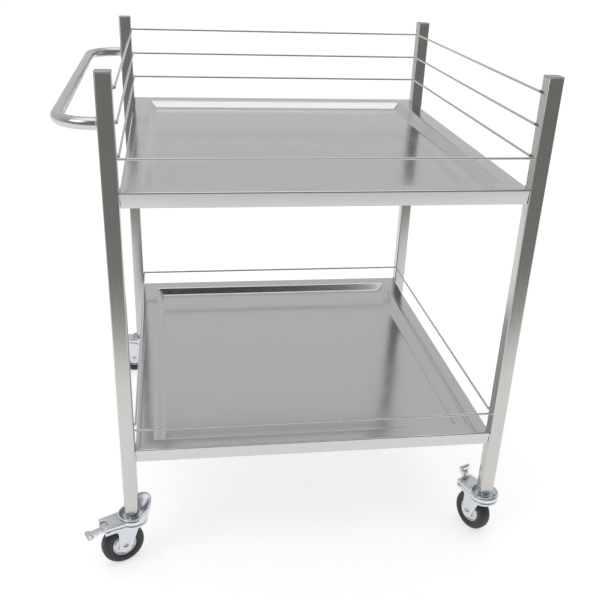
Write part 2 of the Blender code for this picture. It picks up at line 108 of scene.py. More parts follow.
BORE = 0.0054  # the radius of the holes round the stem and the axle
SHAFT = 0.005
GAP = 0.0003  # between pieces that stand next to each other
POST_FOOT = 0.106

# Room: light from each side, the floor's tones and edges, and the camera's lens and place
WALL_FRONT = (0.22, 0.225, 0.215)
WALL_BACK = (0.66, 0.655, 0.66)
CEILING = (1.45, 1.45, 1.45)
WALL_SPAN = (-0.55, 0.55)
CEILING_SPAN = (0.80, 0.93)
PAPER, PAPER_FAR = (0.56, 0.56, 0.56), (0.15, 0.152, 0.146)
GLOW, GLOW_FAR = (1.0, 1.0, 1.0), (0.25, 0.255, 0.245)
GLOW_STRENGTH = 0.65
PAPER_SPAN = (-3.3, -1.75)  # from the grey floor in front to the white paper
FLOOR_X, FLOOR_Y = (-9.0, 11.0), (-9.0, 16.0)
CENTRE_X = 0.029  # how far the posts' middle lies from the origin
LENS, SENSOR = 49.481, 36.0
LENS_SHIFT = (0.00707, 0.05833)
CAMERA_PLACE = (CENTRE_X - 0.24274, -1.59652, 1.07651)
CAMERA_PITCH, CAMERA_ROLL, CAMERA_TURN = 63.453, 2.217, -9.037


# ---- Mesh helpers -----------------------------------------------------------------------------
def bridge(bm, first, second):
    count = len(first)
    for i in range(count):
        j = (i + 1) % count
        bm.faces.new((first[i], first[j], second[j], second[i]))


def loft(bm, rings, closed=False, caps=True):
    made = [[bm.verts.new(p) for p in ring] for ring in rings]
    for a, b in zip(made, made[1:]):
        bridge(bm, a, b)
    if closed:
        bridge(bm, made[-1], made[0])
    elif caps:
        bm.faces.new(made[0])
        bm.faces.new(list(reversed(made[-1])))
    return made


def rounded_rectangle(half_x, half_y, radius, steps=6):
    points = []
    for k, (sx, sy) in enumerate(((1, 1), (-1, 1), (-1, -1), (1, -1))):
        for i in range(steps + 1):
            a = math.pi / 2 * (k + i / steps)
            points.append((sx * (half_x - radius) + radius * math.cos(a),
                           sy * (half_y - radius) + radius * math.sin(a)))
    return points


def arc(centre, radius, start, end, steps):
    angles = [math.radians(start + (end - start) * i / steps) for i in range(steps + 1)]
    return [(centre[0] + radius * math.cos(a), centre[1] + radius * math.sin(a)) for a in angles]


def filleted(points, radius, steps=4, closed=False):
    """Rounds the corners of a flat line; radius is one number or one for each point."""
    count = len(points)
    radii = radius if isinstance(radius, (list, tuple)) else [radius] * count
    out = []
    for i, here in enumerate(points):
        if not closed and i in (0, count - 1):
            out.append(tuple(here))
            continue
        p, before, after = Vector(here), Vector(points[i - 1]), Vector(points[(i + 1) % count])
        u, v = (before - p), (after - p)
        reach = min(u.length, v.length) * 0.48
        u.normalize()
        v.normalize()
        turn = math.pi - u.angle(v, 0.0)
        if turn < 0.02 or radii[i] <= 0:
            out.append(tuple(here))
            continue
        cut = min(radii[i] * math.tan(turn / 2), reach)
        first, last = p + u * cut, p + v * cut
        for k in range(steps + 1):
            t = k / steps
            out.append(tuple(first * (1 - t) ** 2 + p * 2 * t * (1 - t) + last * t * t))
    return out


def turned(bm, profile, sides, closed=True):
    """Turns (radius, height) about Z: a closed section, or a line from the axis to the axis."""
    turn = 2 * math.pi / sides
    if closed:
        rings = [[(r * math.cos(turn * i), r * math.sin(turn * i), z) for i in range(sides)]
                 for r, z in profile]
        loft(bm, rings, closed=True)
        return
    inner = profile[1:-1]
    rings = [[(r * math.cos(turn * i), r * math.sin(turn * i), z) for i in range(sides)]
             for r, z in inner]
    made = loft(bm, rings, caps=False)
    for (_, z), ring in ((profile[0], made[0]), (profile[-1], made[-1])):
        pole = bm.verts.new((0, 0, z))
        for i in range(sides):
            bm.faces.new((ring[i], ring[(i + 1) % sides], pole))


def offset(outline, distance):
    """Moves a closed flat outline inwards, keeping its points."""
    count = len(outline)
    area = 0.0
    for (x, y), (next_x, next_y) in zip(outline, outline[1:] + outline[:1]):
        area += x * next_y - next_x * y
    way = 1 if area > 0 else -1
    out = []
    for i in range(count):
        p = Vector(outline[i])
        a = (p - Vector(outline[i - 1])).normalized()
        b = (Vector(outline[(i + 1) % count]) - p).normalized()
        normal = Vector((-(a.y + b.y), a.x + b.x)) * way
        if normal.length < 1e-9:
            normal = Vector((-a.y, a.x)) * way
        normal.normalize()
        stretch = max(0.5, normal.dot(Vector((-a.y, a.x)) * way))
        out.append(tuple(p + normal * distance / stretch))
    return out


def pressed_lid(bm, outline, low, top, sheet, edge, steps=4):
    """A pressed sheet lid: flat top, rolled edge of a given radius, skirt down to a height."""
    rings = [[(x, y, low) for x, y in outline]]
    for k in range(steps + 1):
        a = math.pi / 2 * k / steps
        ring = offset(outline, edge * (1 - math.cos(a)))
        rings.append([(x, y, top - edge + edge * math.sin(a)) for x, y in ring])
    inside = []
    inner_edge = max(edge - sheet, 0.0002)
    for k in range(steps + 1):
        a = math.pi / 2 * (1 - k / steps)
        ring = offset(outline, sheet + inner_edge * (1 - math.cos(a)))
        height = top - sheet - inner_edge + inner_edge * math.sin(a)
        inside.append([(x, y, height) for x, y in ring])
    inside.append([(x, y, low) for x, y in offset(outline, sheet)])
    outer = loft(bm, rings, caps=False)
    inner = loft(bm, inside, caps=False)
    bm.faces.new(outer[-1])
    bm.faces.new(inner[0])
    bridge(bm, outer[0], inner[-1])


def swept(bm, path, radius, sides, closed=False, caps=True):
    """A round bar along a line in space; radius is a number, or a function of the share of it."""
    points = [Vector(p) for p in path]
    count = len(points)
    rings, side = [], None
    for i, p in enumerate(points):
        if closed:
            along = points[(i + 1) % count] - points[i - 1]
        else:
            along = points[min(i + 1, count - 1)] - points[max(i - 1, 0)]
        along.normalize()
        if side is None:
            side = along.orthogonal().normalized()
            if abs(along.z) < 0.9:
                side = along.cross(Vector((0, 0, 1))).normalized()
        side = (side - along * side.dot(along)).normalized()
        up = along.cross(side)
        r = radius(i / max(count - 1, 1)) if callable(radius) else radius
        ring = []
        for k in range(sides):
            a = 2 * math.pi * k / sides
            ring.append(p + side * r * math.cos(a) + up * r * math.sin(a))
        rings.append(ring)
    return loft(bm, rings, closed=closed, caps=caps)


def blocked(bm, outline, stations):
    """A solid along Y from an outline in X and Z, drawn in by an inset at each (y, inset)."""
    loft(bm, [[(x, y, z) for x, z in offset(outline, inset)] for y, inset in stations])


def rounded_ends(low, high, edge):
    """The stations of a block whose two ends have a chamfer."""
    return (low, edge), (low + edge, 0.0), (high - edge, 0.0), (high, edge)


def absorb(bm, part, move):
    """Moves another mesh and adds it to this one."""
    bmesh.ops.transform(part, matrix=move, verts=part.verts)
    mesh = bpy.data.meshes.new("part")
    part.to_mesh(mesh)
    part.free()
    bm.from_mesh(mesh)
    bpy.data.meshes.remove(mesh)


def box_middle(node):
    """A node's lowest and highest corner, and its middle on the floor as a matrix."""
    low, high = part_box(node)
    middle = ((low[0] + high[0]) / 2, (low[1] + high[1]) / 2, 0)
    return low, high, Matrix.Translation(middle)


def make_piece(name, bm, material, body, nodes=(), place=None, sharp=32):
    """Finishes a mesh as a piece that rides on a body and may stand for CAD nodes."""
    bmesh.ops.recalc_face_normals(bm, faces=bm.faces)
    mesh = bpy.data.meshes.new(name)
    bm.to_mesh(mesh)
    bm.free()
    mesh.materials.append(material)
    obj = bpy.data.objects.new(name, mesh)
    bpy.context.scene.collection.objects.link(obj)
    mesh.shade_smooth()
    mesh.set_sharp_from_angle(angle=math.radians(sharp))
    if place is not None:
        obj.matrix_world = place
    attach(obj, body)
    if nodes:
        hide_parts(*nodes)


# ---- Materials --------------------------------------------------------------------------------
class Nodes:
    """Short calls for building one material's nodes."""

    def __init__(self, name):
        self.material = bpy.data.materials.new(name)
        self.material.use_nodes = True
        self.tree = self.material.node_tree
        self.shader = self.tree.nodes["Principled BSDF"]
        self.place = self.tree.nodes.new("ShaderNodeTexCoord").outputs["Object"]

    def link(self, out, into):
        self.tree.links.new(out, into)

    def noise(self, scale, stretch=(1, 1, 1), detail=3.0, rough=0.55, seed=0.0):
        mapping = self.tree.nodes.new("ShaderNodeMapping")
        mapping.inputs["Scale"].default_value = [scale * s for s in stretch]
        mapping.inputs["Location"].default_value = (seed, seed * 0.7, seed * 1.3)
        self.link(self.place, mapping.inputs["Vector"])
        texture = self.tree.nodes.new("ShaderNodeTexNoise")
        texture.inputs["Scale"].default_value = 1.0
        texture.inputs["Detail"].default_value = detail
        texture.inputs["Roughness"].default_value = rough
        self.link(mapping.outputs["Vector"], texture.inputs["Vector"])
        return texture.outputs["Fac"]

    def spread(self, value, low, high, start=0.3, end=0.7):
        node = self.tree.nodes.new("ShaderNodeMapRange")
        node.inputs["From Min"].default_value = start
        node.inputs["From Max"].default_value = end
        node.inputs["To Min"].default_value = low
        node.inputs["To Max"].default_value = high
        self.link(value, node.inputs["Value"])
        return node.outputs["Result"]

    def math(self, kind, a, b):
        node = self.tree.nodes.new("ShaderNodeMath")
        node.operation = kind
        self.link(a, node.inputs[0])
        self.link(b, node.inputs[1])
        return node.outputs[0]

    def mix(self, share, first, second):
        node = self.tree.nodes.new("ShaderNodeMix")
        node.data_type = "RGBA"
        self.link(share, node.inputs["Factor"])
        for value, socket in ((first, node.inputs["A"]), (second, node.inputs["B"])):
            sockets = [s for s in node.inputs if s.name == socket.name and s.type == "RGBA"]
            if isinstance(value, tuple):
                sockets[0].default_value = (*value, 1.0)
            else:
                self.link(value, sockets[0])
        return [s for s in node.outputs if s.type == "RGBA"][0]

    def bump(self, height, strength, distance, below=None):
        node = self.tree.nodes.new("ShaderNodeBump")
        node.inputs["Strength"].default_value = strength
        node.inputs["Distance"].default_value = distance
        self.link(height, node.inputs["Height"])
        if below is not None:
            self.link(below, node.inputs["Normal"])
        return node.outputs["Normal"]


def brushed_steel(name, light, dark, rough, grain, wave=0.0, seed=0.0):
    """Stainless with fine grain lines along the axis where `grain` is small, and faint smears."""
    m = Nodes(name)
    lines = m.noise(2600, grain, detail=2.0, rough=0.6, seed=seed)
    coarse = m.noise(520, grain, detail=3.0, rough=0.6, seed=seed + 3)
    smear = m.noise(9, (1, 1, 1), detail=4.0, rough=0.6, seed=seed + 7)
    cloud = m.noise(2.3, (1, 1, 1), detail=2.0, seed=seed + 11)
    both = m.math("ADD", m.spread(lines, 0.0, 0.7), m.spread(coarse, 0.0, 0.3))
    tint = m.mix(both, dark, light)
    tint = m.mix(m.spread(cloud, 0.0, 0.4, 0.35, 0.65), tint, tuple(c * 0.97 for c in light))
    m.link(tint, m.shader.inputs["Base Color"])
    value = m.math("ADD", m.spread(both, -0.02, 0.03, 0.1, 0.9),
                   m.spread(smear, rough - 0.02, rough + 0.03))
    m.link(value, m.shader.inputs["Roughness"])
    m.shader.inputs["Metallic"].default_value = 1.0
    normal = m.bump(both, 0.03, 0.00004)
    if wave:
        normal = m.bump(m.noise(5.5, (1, 1, 1), detail=1.0, seed=seed + 19), 1.0, wave, normal)
    m.link(normal, m.shader.inputs["Normal"])
    return m.material


def plated_steel(name, light, dark, rough, seed=0.0):
    """Bright zinc: a faint crystal mottle, a slow colour drift and soft changes of gloss."""
    m = Nodes(name)
    mottle = m.noise(300, detail=3.0, rough=0.6, seed=seed)
    drift = m.noise(45, detail=3.0, seed=seed + 5)
    tint = m.mix(m.spread(mottle, 0.2, 0.8), dark, light)
    bluer = (light[0] * 0.95, light[1] * 0.98, light[2] * 1.01)
    tint = m.mix(m.spread(drift, 0.0, 0.5, 0.35, 0.7), tint, bluer)
    m.link(tint, m.shader.inputs["Base Color"])
    value = m.math("ADD", m.spread(drift, rough - 0.03, rough + 0.03),
                   m.spread(mottle, -0.01, 0.015))
    m.link(value, m.shader.inputs["Roughness"])
    m.shader.inputs["Metallic"].default_value = 1.0
    m.link(m.bump(drift, 0.05, 0.0002), m.shader.inputs["Normal"])
    return m.material


def weld_metal():
    """Weld beads: bright where brushed, with straw and blue-grey heat colours."""
    m = Nodes("weld_metal")
    tone = m.noise(260, (1, 1, 1), detail=3.0, seed=2.0)
    grain = m.noise(1800, (1, 1, 1), detail=3.0, seed=4.0)
    tint = m.mix(m.spread(tone, 0.0, 1.0, 0.35, 0.68), (0.80, 0.79, 0.77), (0.62, 0.60, 0.57))
    m.link(tint, m.shader.inputs["Base Color"])
    m.link(m.spread(grain, 0.22, 0.42), m.shader.inputs["Roughness"])
    m.shader.inputs["Metallic"].default_value = 1.0
    m.link(m.bump(grain, 0.25, 0.0003), m.shader.inputs["Normal"])
    return m.material


def tyre_rubber():
    """Charcoal rubber: dusty tread, fine mould grain and faint wear marks round the wheel."""
    m = Nodes("tyre_rubber")
    grain = m.noise(2400, (1, 1, 1), detail=3.0, rough=0.7, seed=1.0)
    dust = m.noise(120, (1, 1, 1), detail=4.0, rough=0.65, seed=6.0)
    tint = m.mix(m.spread(dust, 0.0, 1.0), (0.019, 0.019, 0.020), (0.034, 0.033, 0.032))
    tint = m.mix(m.spread(grain, 0.0, 0.25), tint, (0.055, 0.054, 0.053))
    m.link(tint, m.shader.inputs["Base Color"])
    m.link(m.spread(dust, 0.40, 0.56), m.shader.inputs["Roughness"])
    m.link(m.bump(grain, 0.22, 0.00025), m.shader.inputs["Normal"])
    return m.material


POST_STEEL = brushed_steel("post_steel", (0.60, 0.59, 0.575), (0.575, 0.565, 0.55), 0.24,
                           (1, 1, 0.006))
TRAY_STEEL = brushed_steel("tray_steel", (0.62, 0.62, 0.63), (0.595, 0.595, 0.60), 0.15,
                           (0.012, 1, 1), wave=0.0006, seed=5)
RAIL_STEEL = brushed_steel("rail_steel", (0.62, 0.62, 0.62), (0.56, 0.56, 0.56), 0.20,
                           (1, 1, 1), seed=9)
HANDLE_STEEL = brushed_steel("handle_steel", (0.62, 0.615, 0.60), (0.57, 0.565, 0.55), 0.22,
                             (1, 0.02, 1), seed=13)
ZINC = plated_steel("zinc_plate", (0.70, 0.72, 0.75), (0.68, 0.70, 0.73), 0.20)
HUB_STEEL = plated_steel("hub_steel", (0.68, 0.69, 0.71), (0.65, 0.66, 0.68), 0.25, 8)
# The cap's darker grey base colour is painted shade, the dark look of the post tops under the
# room's light; only its higher roughness stands for the ground finish.
SHADED_CAP_STEEL = brushed_steel("ground_cap_painted_shade", (0.46, 0.445, 0.45), (0.38, 0.37, 0.37), 0.30,
                          (1, 0.03, 1), seed=21)
WELD = weld_metal()
RUBBER = tyre_rubber()


# ---- Frame ------------------------------------------------------------------------------------
def make_post(corner):
    """A square tube with soft corners, closed by a plate whose weld is ground flush; the plate's
    darker grey is painted shade.
    """
    low, high, place = box_middle(f"post_{corner}")
    half = (high[0] - low[0]) / 2
    seam = high[2] - CAP_THICKNESS
    outside = [(low[2], 0.0003), (low[2] + 0.0003, 0.0), (seam - 0.0003, 0.0), (seam, 0.0002)]
    bm = bmesh.new()
    rings = []
    for z, inset in outside + [(seam, POST_WALL), (low[2], POST_WALL)]:
        edge = rounded_rectangle(half - inset, half - inset, max(POST_CORNER - inset, 0.0012), 7)
        rings.append([(x, y, z) for x, y in edge])
    loft(bm, rings, closed=True)
    make_piece(f"tube_{corner}", bm, POST_STEEL, ROOT, [f"post_{corner}"], place,
               sharp=40)
    bm = bmesh.new()
    rings = []
    profile = [(seam, 0.0002), (seam + 0.0003, 0.0)]
    profile += [(high[2] - CAP_EDGE * (1 - math.sin(math.pi / 2 * k / 6)),
                 CAP_EDGE * (1 - math.cos(math.pi / 2 * k / 6))) for k in range(7)]
    for z, inset in profile:
        edge = rounded_rectangle(half - inset, half - inset, POST_CORNER - inset, 7)
        rings.append([(x, y, z) for x, y in edge])
    loft(bm, rings)
    # The cap gets the darker steel: painted shade on the top of each post.
    make_piece(f"cap_{corner}", bm, SHADED_CAP_STEEL, ROOT, place=place, sharp=40)


def tray_rings(half_x, half_y, rim_z):
    """The sheet's section from the floor over the rim and down the apron, then back inside."""
    lean = SHEET * math.tan(math.atan2(BEVEL_DEPTH, BEVEL_RUN) / 2)
    foot = RIM + BEVEL_RUN
    above = [(foot + 0.02, -BEVEL_DEPTH), (foot, -BEVEL_DEPTH), (RIM, 0), (0, 0),
             (APRON_LEAN, -APRON_DROP + 0.0003), (APRON_LEAN + 0.0003, -APRON_DROP)]
    above = filleted(above, [0, FOLD, FOLD, APRON_EDGE, 0, 0], 10)
    below = [(SHEET + APRON_LEAN, -APRON_DROP), (SHEET, -SHEET), (RIM - lean, -SHEET),
             (foot - lean, -BEVEL_DEPTH - SHEET), (foot + 0.02, -BEVEL_DEPTH - SHEET)]
    below = filleted(below, [0, APRON_EDGE - SHEET, FOLD, FOLD, 0], 6)
    rings = []
    for inset, drop in above + below:
        edge = rounded_rectangle(half_x - inset, half_y - inset, 0.0012, 3)
        rings.append([(x, y, rim_z + drop) for x, y in edge])
    return rings


def make_tray(node):
    low, high, place = box_middle(node)
    half_x, half_y = (high[0] - low[0]) / 2, (high[1] - low[1]) / 2
    bm = bmesh.new()
    loft(bm, tray_rings(half_x, half_y, high[2]))
    make_piece(f"pressed_{node}", bm, TRAY_STEEL, ROOT, [node], place, sharp=35)


def rod_radius(low, high):
    """The radius of the round rod that an eight-sided CAD rod of this height stands for."""
    return (high[2] - low[2]) / 2 / math.cos(math.pi / 8)


def rail_path(node):
    """A corner rail's centre line, from its box: front end, back corner, and the same mirrored."""
    low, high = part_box(node)
    radius = rod_radius(low, high)
    z, middle = (low[2] + high[2]) / 2, (low[0] + high[0]) / 2
    side_x, back_y = high[0] - radius, high[1] - radius
    bend = arc((side_x - ROD_BEND, back_y - ROD_BEND), ROD_BEND, 0, 90, 10)
    right = [(side_x, low[1] + 0.0002), (side_x, low[1] + 0.001), *bend]
    left = [(2 * middle - x, y) for x, y in reversed(right)]
    return [(x, y, z) for x, y in right + left], radius


def make_corner_rail(node):
    path, radius = rail_path(node)
    bm = bmesh.new()
    swept(bm, path, radius, 20)
    make_piece(f"rod_{node}", bm, RAIL_STEEL, ROOT, [node], sharp=50)


def make_front_rail(node):
    low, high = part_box(node)
    y, z = (low[1] + high[1]) / 2, (low[2] + high[2]) / 2
    bm = bmesh.new()
    swept(bm, [(low[0], y, z), (high[0], y, z)], rod_radius(low, high), 20)
    make_piece(f"rod_{node}", bm, RAIL_STEEL, ROOT, [node], sharp=50)


def handle_path():
    low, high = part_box("push_handle")
    z = (low[2] + high[2]) / 2
    grip_x = low[0] + HANDLE_RADIUS
    bend = (grip_x + HANDLE_BEND, HANDLE_LEG_Y - HANDLE_BEND)
    back = [(high[0], HANDLE_LEG_Y), *arc(bend, HANDLE_BEND, 90, 180, 18)]
    front = [(x, -y) for x, y in reversed(back)]
    return [(x, y, z) for x, y in back + front]


def make_handle():
    path = handle_path()
    bm = bmesh.new()
    outer = swept(bm, path, HANDLE_RADIUS, 40, caps=False)
    inner = swept(bm, path, HANDLE_RADIUS - HANDLE_WALL, 40, caps=False)
    bridge(bm, outer[0], inner[0])
    bridge(bm, outer[-1], inner[-1])
    make_piece("grip_tube", bm, HANDLE_STEEL, ROOT, ["push_handle"], sharp=50)


# ---- Welds ------------------------------------------------------------------------------------
def weld_bead(bm, start, end, radius, rng, pitch=0.0021):
    """A run of overlapping puddles along a straight seam."""
    start, end = Vector(start), Vector(end)
    length = (end - start).length
    count = max(5, round(length / 0.0004))
    jitter = [rng.uniform(0.88, 1.10) for _ in range(count + 1)]

    def size(share):
        ripple = 0.86 + 0.14 * abs(math.sin(math.pi * share * length / pitch))
        ends = min(1.0, 6 * min(share, 1 - share) + 0.45)
        return radius * ripple * ends * jitter[round(share * count)]

    swept(bm, [start.lerp(end, i / count) for i in range(count + 1)], size, 10)


def weld_ring(bm, centre, normal, radius, thickness, rng):
    """A fillet round the end of a rod or tube where it meets a flat face."""
    normal = Vector(normal)
    side = normal.orthogonal().normalized()
    up = normal.cross(side)
    count = max(24, round(2 * math.pi * radius / 0.0005))
    ripples = max(6, round(2 * math.pi * radius / 0.0022))
    path = []
    for i in range(count):
        a = 2 * math.pi * i / count
        path.append(Vector(centre) + side * radius * math.cos(a) + up * radius * math.sin(a))
    phase = rng.uniform(0, 6)

    def size(share):
        return thickness * (0.84 + 0.16 * abs(math.sin(math.pi * ripples * share + phase)))

    swept(bm, path, size, 8, closed=True)


def make_welds():
    rng = random.Random(7)
    posts = {c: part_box(f"post_{c}") for c in CORNERS}
    for node in ("top_tray", "lower_tray"):
        tray_low, tray_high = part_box(node)
        bm = bmesh.new()
        for corner, (low, high) in posts.items():
            inner_x = low[0] if "right" in corner else high[0]
            way = -1 if "right" in corner else 1
            face_y = tray_low[1] if "front" in corner else tray_high[1]
            inner_y = high[1] if "front" in corner else low[1]
            seam_x = inner_x + way * 0.0002
            weld_bead(bm, (seam_x, face_y, tray_low[2] + 0.0008),
                      (seam_x, face_y, tray_high[2] - 0.001), 0.0011, rng)
            toward = 1 if "front" in corner else -1
            weld_bead(bm, (seam_x, face_y + toward * 0.0015, tray_high[2]),
                      (seam_x, inner_y, tray_high[2]), 0.0012, rng)
            weld_bead(bm, (seam_x, inner_y + toward * 0.0002, tray_high[2] - 0.003),
                      (seam_x, inner_y + toward * 0.0002, tray_low[2] + 0.0012), 0.0011, rng)
        make_piece(f"welds_{node}", bm, WELD, ROOT, sharp=60)
    bm = bmesh.new()
    for node in ("top_rail_low", "top_rail_middle", "top_rail_high", "lower_rail"):
        low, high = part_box(node)
        z = (low[2] + high[2]) / 2
        for side_x, way in ((low[0], 1), (high[0], -1)):
            seam_x, corner_x = side_x + way * 0.0004, side_x + way * 0.0040
            for drop in (-0.0019, 0.0019):
                weld_bead(bm, (seam_x, low[1] + 0.0006, z + drop),
                          (seam_x, low[1] + 0.0066, z + drop), 0.0008, rng)
                weld_bead(bm, (seam_x, high[1] - 0.0045, z + drop),
                          (corner_x, high[1] - 0.0006, z + drop), 0.0009, rng)
    for node in ("top_rail_front", "lower_rail_front"):
        low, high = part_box(node)
        y, z = (low[1] + high[1]) / 2, (low[2] + high[2]) / 2
        for x in (low[0], high[0]):
            weld_ring(bm, (x, y, z), (1, 0, 0), 0.0023, 0.0008, rng)
    path = handle_path()
    for end in (path[0], path[-1]):
        weld_ring(bm, end, (1, 0, 0), HANDLE_RADIUS + 0.0006, 0.0017, rng)
    make_piece("welds_rails_and_handle", bm, WELD, ROOT, sharp=60)


# ---- Casters: each is made with its tongue along +X and its stem on the Z axis -----------------
def caster_place(corner):
    """The floor under the caster's stem, turned to its heading, as a matrix from the joints."""
    stem = Vector(JOINTS[f"swivel_turn_{corner}"]["pos_m"])
    axle = Vector(JOINTS[f"wheel_spin_{corner}"]["pos_m"])
    heading = math.atan2(axle.y - stem.y, axle.x - stem.x)
    return Matrix.Translation((stem.x, stem.y, 0)) @ Matrix.Rotation(heading, 4, "Z")


def collar_section():
    """The cover's bowl, rolled crest and skirt as (radius, height)."""
    t = COVER_SHEET
    outside = COLLAR_RADIUS
    inside = COLLAR_RADIUS - t
    line = [
        (BORE, BOWL_Z + t), (BOWL_RADIUS, BOWL_Z + t),
        (BOWL_RIM, PLATE_TOP), (BOWL_RIM + 0.0010, COLLAR_CREST),
        (inside, COLLAR_CREST - 0.0004), (outside, PLATE_TOP),
        (outside, SKIRT_Z), (inside, SKIRT_Z),
        (inside, PLATE_TOP - 0.0022), (inside - 0.001, COLLAR_CREST - t - 0.001),
        (BOWL_RIM + 0.0022, COLLAR_CREST - t), (BOWL_RIM + 0.0014, PLATE_TOP - t),
        (BOWL_RADIUS + 0.0010, BOWL_Z), (BORE, BOWL_Z),
    ]
    radii = [0.0002, 0.0025, 0.0015, 0.0018, 0.0020, 0.0016, 0.0003, 0.0003, 0.001, 0.001, 0.0004,
             0.001, 0.002, 0.0002]
    return filleted(line, radii, 4, closed=True)


def make_cover(corner, place):
    """The pressed top of the caster; the braked one's collar stands up at its tail."""
    rise, lean = (LOBE_RISE, LOBE_LEAN) if corner == BRAKED else (0.0, 0.0)
    sides = 96
    rings = []
    for radius, z in collar_section():
        ring = []
        for i in range(sides):
            a = 2 * math.pi * i / sides
            height = min(1.0, max(0.0, (z - SKIRT_Z) / (COLLAR_CREST - SKIRT_Z)))
            share = max(0.0, (LOBE_START - math.cos(a)) / (1 + LOBE_START))
            tail = height * share ** LOBE_POWER
            r = radius + lean * tail
            ring.append((r * math.cos(a), r * math.sin(a), z + rise * tail))
        rings.append(ring)
    bm = bmesh.new()
    loft(bm, rings, closed=True)
    tip, slot, slot_end = TONGUE_REACH, LEVER_SLOT, LEVER_PIVOT - 0.0022
    round_x, round_y = tip - TONGUE_CORNER, TONGUE_HALF - TONGUE_CORNER
    root_x, root_y = TONGUE_ROOT
    outline = arc((0, 0), BOWL_RIM + 0.0016, 42, -42, 14) + [(root_x, -root_y)]
    outline += arc((round_x, -round_y), TONGUE_CORNER, -90, 0, 6)
    outline += filleted([(tip, -slot), (slot_end, -slot), (slot_end, slot), (tip, slot)], 0.0018, 4)
    outline += arc((round_x, round_y), TONGUE_CORNER, 0, 90, 6) + [(root_x, root_y)]
    pressed_lid(bm, outline, SKIRT_Z, PLATE_TOP, COVER_SHEET, 0.0021)
    make_piece(f"cover_{corner}", bm, ZINC, f"swivel_{corner}",
                      [f"brake_cover_{corner}"], place, sharp=38)


def make_fork(corner, place):
    """The pressed fork: a rolled crown, two cheeks that narrow to the axle, and washers."""
    half, sheet = FORK_HALF, FORK_SHEET
    bm = bmesh.new()
    crown_end = LEVER_PIVOT - 0.0085
    outline = [(crown_end, -half), (crown_end, half)]
    outline += arc((0, 0), COLLAR_RADIUS - 0.0004, 42, 318, 44)
    pressed_lid(bm, outline, CROWN_Z - 0.0030, CROWN_TOP, sheet - 0.0004, 0.0026)
    front = TRAIL + CHEEK_END
    lower, tip = CROWN_Z - 0.006, TONGUE_REACH - 0.001
    cheek = arc((TRAIL, AXLE_Z), CHEEK_END, 0, -165, 16)
    sides = [cheek[-1], (-0.0065, lower), (-0.013, CROWN_TOP - 0.002), (tip, CROWN_TOP - 0.0002),
             (tip, lower), (front + 0.004, lower), (front, lower - 0.004), (front, AXLE_Z)]
    cheek += filleted(sides, [0, 0.012, 0.002, 0.001, 0.0015, 0.003, 0.004, 0], 5)[1:-1]
    washer = [(0, -0.0004), (0.0084, -0.0004), (0.0080, 0.0006), (0, 0.0006)]
    for side in (-1, 1):
        low, high = sorted((side * (half - sheet), side * half))
        blocked(bm, cheek, rounded_ends(low, high, 0.0005))
        boss = bmesh.new()
        turned(boss, filleted(washer, [0, 0, 0.0004, 0], 3), 32, closed=False)
        absorb(bm, boss, Matrix.Translation((TRAIL, side * half, AXLE_Z))
               @ Matrix.Rotation(-side * math.pi / 2, 4, "X"))
    make_piece(f"pressed_fork_{corner}", bm, ZINC, f"swivel_{corner}",
                      [f"fork_{corner}"], place, sharp=38)


def axle_turn(place):
    """A place whose Z runs along the wheel's axle."""
    return place @ Matrix.Translation((TRAIL, 0, AXLE_Z)) @ Matrix.Rotation(math.pi / 2, 4, "X")


def make_axle(corner, place):
    """A round-headed bolt and its nut."""
    head, face = 0.0060, FORK_HALF + GAP
    crown, tip = -face - 0.0045, face + 0.0074
    bm = bmesh.new()
    dome = [(0, crown), (head * 0.45, crown + 0.0004), (head * 0.80, crown + 0.0016),
            (head, crown + 0.0032), (head, -face), (SHAFT, -face), (SHAFT, tip - 0.0006),
            (SHAFT - 0.0006, tip), (0, tip)]
    radii = [0, 0.003, 0.003, 0.001, 0.0002, 0, 0.0002, 0.0002, 0]
    turned(bm, filleted(dome, radii, 3), 40, closed=False)
    turn, body = axle_turn(place), f"swivel_{corner}"
    make_piece(f"bolt_{corner}", bm, ZINC, body, [f"axle_bolt_{corner}"], turn,
               sharp=40)
    bm = bmesh.new()
    across, length, bore, edge = 0.0075, 0.0055, 0.0053, 0.0006
    point = across / math.cos(math.pi / 6)
    turns = [math.pi / 3 * i for i in range(6)]
    hexagon = filleted([(point * math.cos(a), point * math.sin(a)) for a in turns], 0.0009, 4,
                       closed=True)
    rings = []
    for z, cut in ((face, 0.0007), (face + edge, 0.0), (face + length - edge, 0.0),
                   (face + length, 0.0007)):
        rings.append([(x, y, z) for x, y in offset(hexagon, cut)])
    count = len(hexagon)
    turns = [2 * math.pi * i / count for i in range(count)]
    for z in (face + length, face):
        rings.append([(bore * math.cos(a), bore * math.sin(a), z) for a in turns])
    loft(bm, rings, closed=True)
    make_piece(f"hex_nut_{corner}", bm, ZINC, body, [f"axle_nut_{corner}"], turn,
               sharp=30)


